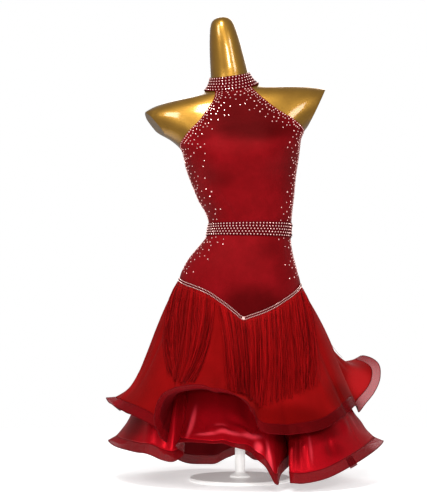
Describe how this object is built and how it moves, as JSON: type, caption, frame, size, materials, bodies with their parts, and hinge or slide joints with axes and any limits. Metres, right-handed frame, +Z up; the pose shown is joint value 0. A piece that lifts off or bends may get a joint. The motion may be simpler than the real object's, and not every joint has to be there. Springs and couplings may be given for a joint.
{
  "type": "salsa dance dress on a limbless dress form",
  "caption": "Backless halter dance dress with a stone-set collar and belt, a fringed V hip line and two flared crin-edged skirt tiers, on a limbless form and round stand.",
  "frame": {"origin": "centre of the stand's underside, on the floor", "axes": "+Z up, the front of the dress faces -Y, +X to the viewer's right as seen from the front"},
  "size_m": [0.6927, 0.7324, 1.1565],
  "materials": {
    "velvet": "deep red stretch velvet, soft pile sheen",
    "crepe": "matt red stretch crepe",
    "satin": "red satin with soft highlights",
    "crin": "open red nylon crin braid",
    "fringe_yarn": "red rayon chainette fringe",
    "stones": "tape covered with clear faceted stones",
    "gold": "gold lacquer on glass fibre",
    "stand_enamel": "white powder coat, satin"
  },
  "bodies": {
    "root": {"belt": "stones", "bodice_back": "velvet", "bodice_front": "velvet", "collar": "stones", "crin_lower": "crin", "crin_upper": "crin", "dress_form": "gold", "fringe": "fringe_yarn", "hip_trim": "stones", "skirt_lower": "satin", "skirt_upper": "crepe", "stand_base": "stand_enamel", "stand_post": "stand_enamel"}
  },
  "joints": []
}
